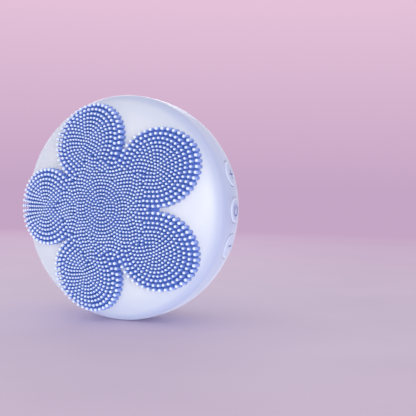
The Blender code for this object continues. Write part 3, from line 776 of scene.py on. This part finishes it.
def row_point(radius, s):
    """The point at a distance s along one row of a petal whose axis is +x, from the row's tip near the axis:
    a straight flank, an arc round the petal's middle, and the other flank."""
    half = math.pi / PETALS
    swing = math.pi / 2 + half
    flank = radius / math.tan(half)
    arc = radius * 2 * swing
    apex = PETAL_DISTANCE - radius / math.sin(half)
    if s < flank:
        return apex + math.cos(half) * s, -math.sin(half) * s
    if s > flank + arc:
        rest = 2 * flank + arc - s
        return apex + math.cos(half) * rest, math.sin(half) * rest
    angle = (s - flank) / radius - swing
    return PETAL_DISTANCE + math.cos(angle) * radius, math.sin(angle) * radius


def petal_places():
    """Bristles (x, y, held) in rows round the middle of a petal on +x. The two outer rows are held."""
    half = math.pi / PETALS
    places = [(PETAL_DISTANCE, 0.0, False)]
    for number, depth in enumerate(ROW_DEPTHS):
        radius = OUTER_ROW - depth * MM
        flank = radius / math.tan(half)
        length = 2 * flank + radius * (math.pi + 2 * half)
        way = length / 2
        while way > 0:
            x, y = row_point(radius, way)
            held = number < 2 and way > flank - 2.5 * MM
            if way > flank - 4 * MM:
                places += [(x, y, held), (x, -y, held)] if way < length / 2 else [(x, y, held)]
            way -= spacing_at(*turned_point(x, y, PETAL_PHASE))
    return places


def turned_point(x, y, angle):
    cosine, sine = math.cos(angle), math.sin(angle)
    return x * cosine - y * sine, x * sine + y * cosine


def centre_places():
    places = [(0.0, 0.0, False)]
    for ring in range(1, CENTRE_RINGS + 1):
        radius = ring * CENTRE_PITCH
        count = round(2 * math.pi * radius / spacing_at(radius, 0.0))
        places += [(*turned_point(radius, 0.0, a + 0.4 * ring), False) for a in even_angles(count)]
    return places


def fill_places():
    """A fine grid of places to try once the rows are in, from the axis outwards."""
    pitch = 0.4 * MM
    reach = int(38 * MM / pitch)
    grid = [(i * pitch, j * pitch) for i in range(-reach, reach + 1) for j in range(-reach, reach + 1)]
    inside = [(x, y, False) for x, y in grid if math.hypot(x, y) < flower_edge(math.atan2(y, x)) - 0.5 * MM]
    return sorted(inside, key=lambda place: math.hypot(place[0], place[1]))


def flower_places():
    """Every bristle's foot and the distance to its neighbours: rows in the petals, rings in the middle, and
    whatever fits between them, pushed apart until they stand evenly."""
    petals = [PETAL_PHASE + a for a in even_angles(PETALS)]
    rows = petal_places()
    held_rows = [(*turned_point(x, y, a), held) for a in petals for x, y, held in rows if held]
    free_rows = [(*turned_point(x, y, a), held) for a in petals for x, y, held in rows if not held]
    middle = (CENTRE_RINGS + 0.7) * CENTRE_PITCH
    free_rows = [place for place in free_rows if math.hypot(place[0], place[1]) > middle]
    tries = held_rows + centre_places() + free_rows + fill_places()
    points = np.zeros((len(tries), 2))
    spacing = np.zeros(len(tries))
    free = np.zeros(len(tries))
    count = 0
    for x, y, held in tries:
        room = spacing_at(x, y)
        away = np.hypot(points[:count, 0] - x, points[:count, 1] - y)
        if count and away.min() < 0.80 * room:
            continue
        points[count] = x, y
        spacing[count] = room
        free[count] = 0.0 if held else 1.0
        count += 1
    points, spacing, free = points[:count], spacing[:count], free[:count]
    wish = (spacing[:, None] + spacing[None, :]) / 2
    for _ in range(30):
        apart = points[:, None, :] - points[None, :, :]
        distance = np.hypot(apart[..., 0], apart[..., 1]) + 1e-9
        push = np.clip(wish - distance, 0.0, None) / distance
        np.fill_diagonal(push, 0.0)
        points = points + 0.16 * free[:, None] * (apart * push[..., None]).sum(axis=1)
    return points, spacing


def bristle_shape():
    """Rings (share of the foot's radius, height share) of one bristle, from root to the rounded tip."""
    rings = [(1.0, 0.0), (0.94, 0.16), (0.88, 0.5), (0.82, 0.78)]
    tip = 0.80
    for i in range(5):
        angle = math.radians(18 * i)
        rings.append((tip * math.cos(angle), 0.84 + 0.16 * math.sin(angle)))
    return rings


def bristle_mesh(name, places, rng):
    rings = bristle_shape()
    sides = BRISTLE_SIDES
    verts, faces, heights = [], [], []
    for x, y, spacing in places:
        point = Vector((x, y))
        foot = BRISTLE_SHARE * spacing
        base = dome_height(point.length) - BRISTLE_ROOT
        length = (BRISTLE_LENGTH + BRISTLE_ROOT) * rng.uniform(0.985, 1.0)
        lean = Vector((rng.uniform(-1, 1), rng.uniform(-1, 1))) * 0.03 * MM
        first = len(verts)
        for share, height in rings:
            for a in even_angles(sides):
                x = point.x + lean.x * height + foot * share * math.cos(a)
                y = point.y + lean.y * height + foot * share * math.sin(a)
                verts.append((x, y, base + length * height))
                heights.append(height)
        top = len(verts)
        verts.append((point.x + lean.x, point.y + lean.y, base + length))
        heights.append(1.0)
        for ring in range(len(rings) - 1):
            for k in range(sides):
                a = first + ring * sides + k
                b = first + ring * sides + (k + 1) % sides
                faces.append((a, b, b + sides, a + sides))
        last = first + (len(rings) - 1) * sides
        faces.extend((last + k, last + (k + 1) % sides, top) for k in range(sides))
        faces.append(tuple(first + k for k in reversed(range(sides))))
    mesh = mesh_from(name, verts, faces)
    # 'tip' is the height share along each bristle. The bristle material paints shade at the feet and a
    # highlight at the tips from it.
    attribute = mesh.attributes.new("tip", "FLOAT", "POINT")
    attribute.data.foreach_set("value", np.array(heights, np.float32))
    return mesh


def make_flower_pad(material):
    """The thin blue layer that the bristles grow out of."""
    columns, rows = 360, 26
    raised = 0.12 * MM
    verts = []
    layers = [(i / rows, raised) for i in range(1, rows + 1)] + [(1.0, -0.25 * MM), (0.02, -0.25 * MM)]
    for angle in even_angles(columns):
        edge = flower_edge(angle)
        for share, lift in layers:
            r = edge * share
            verts.append((r * math.cos(angle), r * math.sin(angle), dome_height(r) + lift))
    mesh = tidy(mesh_from("flower_pad", verts, capped_faces(columns, len(layers))))
    piece("flower_pad", mesh, "root", material, ["bristle_field"], 50, False)


def make_bristles(material):
    rng = random.Random(SEED)
    points, spacing = flower_places()
    step = 2 * math.pi / PETALS
    petal_of = np.floor((np.arctan2(points[:, 1], points[:, 0]) % (2 * math.pi)) / step).astype(int)
    for petal in range(PETALS):
        places = [(x, y, room) for (x, y), room, own in zip(points, spacing, petal_of) if own == petal]
        mesh = bristle_mesh(f"bristles_{petal + 1}", places, rng)
        piece(mesh.name, mesh, "root", material, ["bristle_field"], 60, False)


# ---- the rings and the plate at the back


def turned_piece(name, profile, material, node):
    piece(name, lathe(name, profile), "root", material, [node])


def make_rear_stack(materials):
    outer, rear, front = turned_size("chrome_ring")
    inner = outer - 1.3 * MM
    profile = rounded([
        (outer, front, 0.1 * MM),
        (outer, rear + 0.25 * MM, 0.55 * MM),
        (outer - 0.45 * MM, rear, 0.25 * MM),
        (inner, rear, 0.2 * MM),
        (inner, front, 0.1 * MM),
    ])
    turned_piece("chrome_ring_polished", profile, chrome(rear, rear + 4.6 * MM), "chrome_ring")

    outer, rear, front = turned_size("white_bezel")
    inner = turned_size("trim_ring")[0] + GAP
    crown = [
        (outer, BEZEL_FOOT_Z, 0.0),
        (outer, rear + 0.75 * MM, 0.5 * MM),
        (outer - 0.8 * MM, rear + 0.35 * MM, 1.2 * MM),
        (outer - 2.6 * MM, rear + 0.05 * MM, 2.5 * MM),
        (inner, rear, 0.25 * MM),
        (inner, front, 0.0),
        (inner + 1.2 * MM, front, 0.0),
        (inner + 1.2 * MM, BEZEL_FOOT_Z, 0.0),
    ]
    turned_piece("white_bezel_gloss", rounded(crown), materials["gloss_white"], "white_bezel")

    outer, rear, front = turned_size("trim_ring")
    groove = rear + 0.75 * MM
    wall = [
        (outer, front, 0.0),
        (outer, groove + 0.22 * MM, 0.05 * MM),
        (outer - 0.16 * MM, groove + 0.1 * MM, 0.04 * MM),
        (outer - 0.16 * MM, groove - 0.1 * MM, 0.04 * MM),
        (outer, groove - 0.22 * MM, 0.05 * MM),
        (outer, rear, 0.2 * MM),
        (outer - 0.5 * MM, rear, 0.12 * MM),
        (outer - 0.5 * MM, front, 0.0),
    ]
    turned_piece("trim_ring_satin", rounded(wall, 4), materials["silver_trim"], "trim_ring")

    outer, rear, front = turned_size("diffuser_ring")
    light_outer, light_rear, light_front = turned_size("light_ring")
    inner = light_outer + GAP
    window = [
        (outer, front, 0.0),
        (outer, rear, 0.35 * MM),
        ((outer + inner) / 2, rear + 0.28 * MM, 3.0 * MM),
        (inner, rear + 0.75 * MM, 0.25 * MM),
        (inner, DIFFUSER_FOOT_Z, 0.0),
        (outer - 1.4 * MM, DIFFUSER_FOOT_Z, 0.0),
        (outer - 1.4 * MM, front, 0.0),
    ]
    stops = [
        (0.0, (0.22, 0.46, 0.82)),
        (0.35, (0.28, 0.52, 0.80)),
        (0.8, (0.34, 0.56, 0.79)),
        (1.0, (0.45, 0.63, 0.80)),
    ]
    glow = glowing("pale_blue_diffuser", inner, outer, stops, 0.25, 0.18)
    turned_piece("diffuser_window", rounded(window), glow, "diffuser_ring")

    plate_outer, plate_rear, plate_front = turned_size("massage_plate")
    inner = plate_outer + GAP
    guide = [
        (light_outer, light_front, 0.0),
        (light_outer, light_rear + 0.95 * MM, 0.3 * MM),
        (light_outer - 1.2 * MM, light_rear + 0.12 * MM, 1.1 * MM),
        (inner + 1.1 * MM, light_rear + 0.02 * MM, 1.0 * MM),
        (inner, light_rear + 0.45 * MM, 0.2 * MM),
        (inner, light_front, 0.0),
    ]
    # Painted shade: the ring's blue is darkened at both edges, the shade of its rounded edges. The bright
    # middle is the light guide's own glow.
    stops = [
        (0.0, (0.004, 0.065, 0.42)),
        (0.10, (0.012, 0.190, 0.88)),
        (0.5, (0.055, 0.300, 1.0)),
        (0.86, (0.010, 0.210, 0.92)),
        (1.0, (0.002, 0.060, 0.36)),
    ]
    glow = glowing("blue_light_guide", inner, light_outer, stops, 0.28, 0.14)
    turned_piece("light_guide_ring", rounded(guide), glow, "light_ring")

    crown = [
        (plate_outer, plate_front - 2.1 * MM, 0.0),
        (plate_outer, plate_rear + 0.8 * MM, 0.25 * MM),
        (plate_outer - 0.8 * MM, plate_rear + 0.38 * MM, 0.9 * MM),
        (PLATE_FLAT + 0.6 * MM, plate_rear + 0.05 * MM, 3.0 * MM),
    ]
    curve = rounded([(0.0, plate_rear, 0.0), (0.0, plate_rear + 1.2 * MM, 0.0), *crown])
    curve = [point for point in curve if point[0] > 1e-6]
    profile = [(0.0, plate_front), *curve, (PLATE_FLAT * 0.9, plate_rear), (0.0, plate_rear)]
    steel = polished_plate(plate_outer)
    turned_piece("massage_plate_polished", profile, steel, "massage_plate")


# ---- keys and charging contacts


def cap_lift(rho):
    """How far a key's surface stands above the body's at a distance rho from its middle."""
    share = rho / CAP_RADIUS
    dish = 0.20 * MM + 0.20 * MM * min(share / 0.75, 1.0) ** 2
    fall = max(rho - (CAP_RADIUS - KEY_EDGE), 0.0) / KEY_EDGE
    return dish - KEY_EDGE * 0.85 * (1 - math.sqrt(max(1 - fall**2, 0.0)))


def cap_point(y, z, place, lift=0.0):
    """A point of a key's surface at (y, z) from its middle."""
    key_y, key_z = place
    return (side_x(key_y + y, key_z + z) + cap_lift(math.hypot(y, z)) + lift, key_y + y, key_z + z)


def cap_mesh(name, place):
    columns = 72
    inside = [CAP_RADIUS * share for share in (0.06, 0.2, 0.35, 0.5, 0.62, 0.72, 0.79)]
    edge = [CAP_RADIUS - KEY_EDGE * (1 - math.sin(math.radians(10 * i))) for i in range(1, 10)]
    rings = inside + edge
    verts = []
    for a in even_angles(columns):
        for rho in rings:
            verts.append(cap_point(rho * math.cos(a), rho * math.sin(a), place))
        for rho, drop in ((CAP_RADIUS, KEY_DEPTH), (CAP_RADIUS * 0.1, KEY_DEPTH)):
            _, y, z = cap_point(rho * math.cos(a), rho * math.sin(a), place)
            verts.append((side_x(y, z) - drop, y, z))
    mesh = tidy(mesh_from(name, verts, capped_faces(columns, len(rings) + 2)))
    # The 'rim' attribute marks the cap's outer edge, where the silicone material paints a highlight.
    shares = [math.hypot(v.co.y - place[0], v.co.z - place[1]) / CAP_RADIUS for v in mesh.vertices]
    rim = mesh.attributes.new("rim", "FLOAT", "POINT")
    rim.data.foreach_set("value", np.clip((np.array(shares, np.float32) - 0.84) / 0.1, 0, 1))
    return mesh


def stroke(place, points):
    """A raised line with rounded ends along (y, z) points of a key, following its surface."""
    half = SYMBOL_LINE / 2
    top = SYMBOL_HEIGHT
    section = [(-1, SYMBOL_ROOT), (-1, 0.0), (-0.6, top), (0.6, top), (1, 0.0), (1, SYMBOL_ROOT)]
    verts, faces = [], []
    count = len(points)
    for i, point in enumerate(points):
        here = Vector(point)
        ahead = Vector(points[min(i + 1, count - 1)]) - Vector(points[max(i - 1, 0)])
        side = Vector((-ahead.y, ahead.x)).normalized()
        near_end = min(i, count - 1 - i)
        width = half * (0.55, 0.9, 1.0)[min(near_end, 2)]
        for across, lift in section:
            spot = here + side * width * across
            verts.append(cap_point(spot.x, spot.y, place, lift))
    ring = len(section)
    for i in range(count - 1):
        for k in range(ring):
            a, b = i * ring + k, i * ring + (k + 1) % ring
            faces.append((a, b, b + ring, a + ring))
    faces.append(tuple(range(ring)))
    faces.append(tuple((count - 1) * ring + k for k in reversed(range(ring))))
    return verts, faces


def line_points(start, end, steps=14):
    ends = [0.0, 0.012, 0.03]
    middle = [0.06 + 0.88 * i / steps for i in range(steps + 1)]
    shares = ends + middle + [1 - share for share in reversed(ends)]
    return [tuple(Vector(start).lerp(Vector(end), share)) for share in shares]


def arc_points(radius, start, end, steps=40):
    angles = [start + (end - start) * i / steps for i in range(steps + 1)]
    return [(radius * math.sin(a), radius * math.cos(a)) for a in angles]


def symbol_mesh(name, place, lines):
    verts, faces = [], []
    for points in lines:
        more_verts, more_faces = stroke(place, points)
        start = len(verts)
        verts += more_verts
        faces += [tuple(start + i for i in face) for face in more_faces]
    return tidy(mesh_from(name, verts, faces), 1e-9)


def make_keys(silicone, ink):
    bar = 1.75 * MM
    loop = 1.95 * MM
    opening = math.radians(36)
    upright = math.pi / 2
    ring_lines = [arc_points(loop, upright + opening, upright + 2 * math.pi - opening)]
    symbols = {
        "plus": [line_points((0, -bar), (0, bar)), line_points((-bar, 0), (bar, 0))],
        "power": ring_lines + [line_points((0.2 * MM, 0), (2.3 * MM, 0))],
        "minus": [line_points((0, -bar), (0, bar))],
    }
    for name, place in key_places().items():
        mesh = cap_mesh(f"{name}_key_cap", place)
        body = f"{name}_key"
        piece(mesh.name, mesh, body, silicone, [f"{name}_button_cap"], 50, False)
        mesh = symbol_mesh(f"{name}_symbol", place, symbols[name])
        piece(mesh.name, mesh, body, ink, (), 50, False)


def make_contacts(white, gold):
    matrix = contact_matrix()
    mesh = box_mesh(CONTACT_BLOCK, 0.35 * MM, 4, (-CONTACT_BLOCK[0] / 2, 0, 0))
    mesh.transform(matrix)
    piece("charging_face", mesh, "root", white, ["contact_block"])
    for i in (1, 2):
        low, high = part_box(f"charge_contact_{i}")
        y = in_brush((low + high) / 2).y
        profile = [(0.0, -5.6), (1.1, -5.6), (1.1, -0.15), (1.05, -0.05), (0.95, 0.02), (0.75, 0.05)]
        profile += [(0.66, 0.0), (0.35, -0.04), (0.0, -0.05)]
        mesh = lathe(f"contact_pad_{i}", [(r * MM, z * MM) for r, z in profile], even_angles(48))
        mesh.transform(matrix @ Matrix.Translation((0, y, 0)) @ Matrix.Rotation(math.pi / 2, 4, "Y"))
        piece(mesh.name, mesh, "root", gold, [f"charge_contact_{i}"])


# ---- the pieces inside


def dress_inside(materials):
    """Every CAD node that stays visible takes the finish of its slot."""
    for part in frame["record"]["subparts"]:
        obj = frame["nodes"][part["node"]]
        if obj.hide_render:
            continue
        material = materials[part["material_slot"]]
        obj.data.materials.clear()
        obj.data.materials.append(material)


def inner_materials():
    plastics = {
        "shell_plastic": ((0.66, 0.66, 0.71), (0.74, 0.74, 0.79), 0.48),
        "black_plastic": ((0.012, 0.012, 0.014), (0.030, 0.030, 0.034), 0.42, 0.1 * MM),
        "seal_rubber": ((0.020, 0.020, 0.024), (0.045, 0.045, 0.052), 0.65, 0.3 * MM),
        "red_wire": ((0.50, 0.015, 0.012), (0.64, 0.030, 0.020), 0.36, 0.6 * MM, 0.02 * MM),
    }
    metals = {
        "steel": ((0.42, 0.42, 0.44), (0.66, 0.66, 0.68), 0.30, (0.06, 1, 1)),
        "dense_weight": ((0.16, 0.16, 0.17), (0.30, 0.30, 0.31), 0.48, (1, 1, 1), 0.3 * MM, 0.02 * MM),
        "gold_contact": ((0.78, 0.50, 0.16), (0.95, 0.68, 0.28), 0.20, (1, 1, 0.1)),
    }
    return {
        **{slot: plastic(slot, *finish) for slot, finish in plastics.items()},
        **{slot: metal(slot, *finish) for slot, finish in metals.items()},
        "copper_winding": copper_winding(),
        "circuit_board": circuit_board(),
        "foam": foam(),
        "battery_foil": battery_foil(),
        "heater_film": heater_film(),
        "led": led_lens(),
    }


# ---- floor, light and camera


def make_floor():
    """A pale floor that fades into the backdrop's colour far away."""
    verts = [(0.0, 0.0, 0.0)]
    faces = []
    columns = 96
    rings = [0.3, 0.8, 2.0, 6.0]
    for r in rings:
        verts += [(r * math.cos(a), r * math.sin(a), 0.0) for a in even_angles(columns)]
    faces += [(0, 1 + k, 1 + (k + 1) % columns) for k in range(columns)]
    for ring in range(len(rings) - 1):
        a, b = 1 + ring * columns, 1 + (ring + 1) * columns
        faces += [(a + k, b + k, b + (k + 1) % columns, a + (k + 1) % columns) for k in range(columns)]
    mesh = mesh_from("floor", verts, faces)
    floor = add_object("floor", mesh)
    floor.location = (ORIGIN.x, ORIGIN.y, ORIGIN.z - BODY_RADIUS - 0.02 * MM)
    s = Surface("floor", 0.45)
    near = s.cloud(60 * MM, 2.0)
    seen = s.add("ShaderNodeLightPath").outputs["Is Camera Ray"]
    s.link(s.mix(seen, (0.90, 0.88, 0.92), s.mix(near, (0.61, 0.50, 0.63), (0.65, 0.54, 0.67))), "Base Color")
    s.link(s.mix(seen, (1.0, 0.94, 1.0), (0.0, 0.0, 0.0)), "Emission Color")
    s.set("Emission Strength", 0.22)
    s.set("Specular IOR Level", 0.1)
    s.vary_roughness(near, 0.75, 0.85)
    glow = s.add("ShaderNodeEmission", {"Color": (*HORIZON, 1.0)}).outputs[0]
    away = s.between(s.radius(), 0.10, 0.65)
    both = s.add("ShaderNodeMixShader", {0: away, 1: s.shader.outputs[0], 2: glow}).outputs[0]
    s.tree.links.new(both, s.tree.nodes["Material Output"].inputs["Surface"])
    mesh.materials.append(s.material)


def make_backdrop():
    """The camera sees a lilac-pink backdrop; the brush is lit by a paler, bluer one."""
    world = bpy.data.worlds.new("backdrop")
    bpy.context.scene.world = world
    world.use_nodes = True
    tree = world.node_tree
    seen = tree.nodes["Background"]
    way = tree.nodes.new("ShaderNodeTexCoord")
    height = tree.nodes.new("ShaderNodeSeparateXYZ")
    tree.links.new(way.outputs["Generated"], height.inputs[0])
    sky = tree.nodes.new("ShaderNodeValToRGB")
    sky.color_ramp.elements[0].color = (*HORIZON, 1.0)
    sky.color_ramp.elements[1].position = 0.24
    sky.color_ramp.elements[1].color = (*BACKDROP, 1.0)
    tree.links.new(height.outputs["Z"], sky.inputs["Fac"])
    tree.links.new(sky.outputs["Color"], seen.inputs["Color"])
    lit = tree.nodes.new("ShaderNodeBackground")
    lit.inputs["Color"].default_value = (0.86, 0.85, 0.88, 1.0)
    lit.inputs["Strength"].default_value = 0.86
    ray = tree.nodes.new("ShaderNodeLightPath")
    both = tree.nodes.new("ShaderNodeMixShader")
    tree.links.new(ray.outputs["Is Camera Ray"], both.inputs["Fac"])
    tree.links.new(lit.outputs[0], both.inputs[1])
    tree.links.new(seen.outputs[0], both.inputs[2])
    tree.links.new(both.outputs[0], tree.nodes["World Output"].inputs["Surface"])


def area_light(name, azimuth, elevation, distance, size, power, colour=(1.0, 1.0, 1.0)):
    """A square soft light that faces the brush. Azimuth 0 is in front of the bristles, 90 beside the keys."""
    data = bpy.data.lights.new(name, "AREA")
    data.shape = "SQUARE"
    data.size = size
    data.energy = power
    data.color = colour
    light = add_object(name, data)
    a, e = math.radians(azimuth), math.radians(elevation)
    out = Vector((math.sin(a) * math.cos(e), -math.cos(a) * math.cos(e), math.sin(e)))
    light.location = ORIGIN + out * distance
    light.rotation_euler = out.to_track_quat("Z", "Y").to_euler()


def make_lights():
    area_light("front_soft", 43, 5, 0.75, 0.28, 2.1)
    area_light("low_fill", 0, 2, 0.5, 0.22, 0.3)
    area_light("top_soft", -25, 55, 0.8, 0.6, 0.25)
    area_light("rim_left", -100, 15, 0.7, 0.6, 0.4, (0.96, 0.94, 1.0))
    area_light("rim_right", 165, 30, 0.7, 0.5, 0.15, (1.0, 0.94, 0.98))
    area_light("back_soft", 212, 12, 0.8, 0.5, 1.25)


def make_camera():
    data = bpy.data.cameras.new("camera")
    data.lens = VIEW_LENS
    data.clip_start = 0.01
    data.clip_end = 50
    camera = add_object("camera", data)
    flat = math.cos(VIEW_ELEVATION)
    out = Vector((math.sin(VIEW_AZIMUTH) * flat, -math.cos(VIEW_AZIMUTH) * flat, math.sin(VIEW_ELEVATION)))
    camera.location = ORIGIN + out * VIEW_DISTANCE
    level = Euler((math.pi / 2 - VIEW_TILT, 0.0, VIEW_AZIMUTH - VIEW_PAN)).to_matrix()
    camera.rotation_euler = (level @ Matrix.Rotation(VIEW_ROLL, 3, "Z")).to_euler()
    bpy.context.scene.camera = camera


def main():
    bpy.context.scene.view_settings.view_transform = "Standard"
    make_camera()
    silicone = lavender_silicone()
    materials = inner_materials()
    materials["gloss_white"] = gloss_white()
    materials["silver_trim"] = silver_trim()
    make_skin(silicone)
    make_flower_pad(flower_blue())
    make_bristles(bristle_silicone())
    make_rear_stack(materials)
    make_keys(silicone, symbol_blue())
    make_contacts(materials["gloss_white"], materials["gold_contact"])
    dress_inside(materials)
    make_floor()
    make_backdrop()
    make_lights()


main()
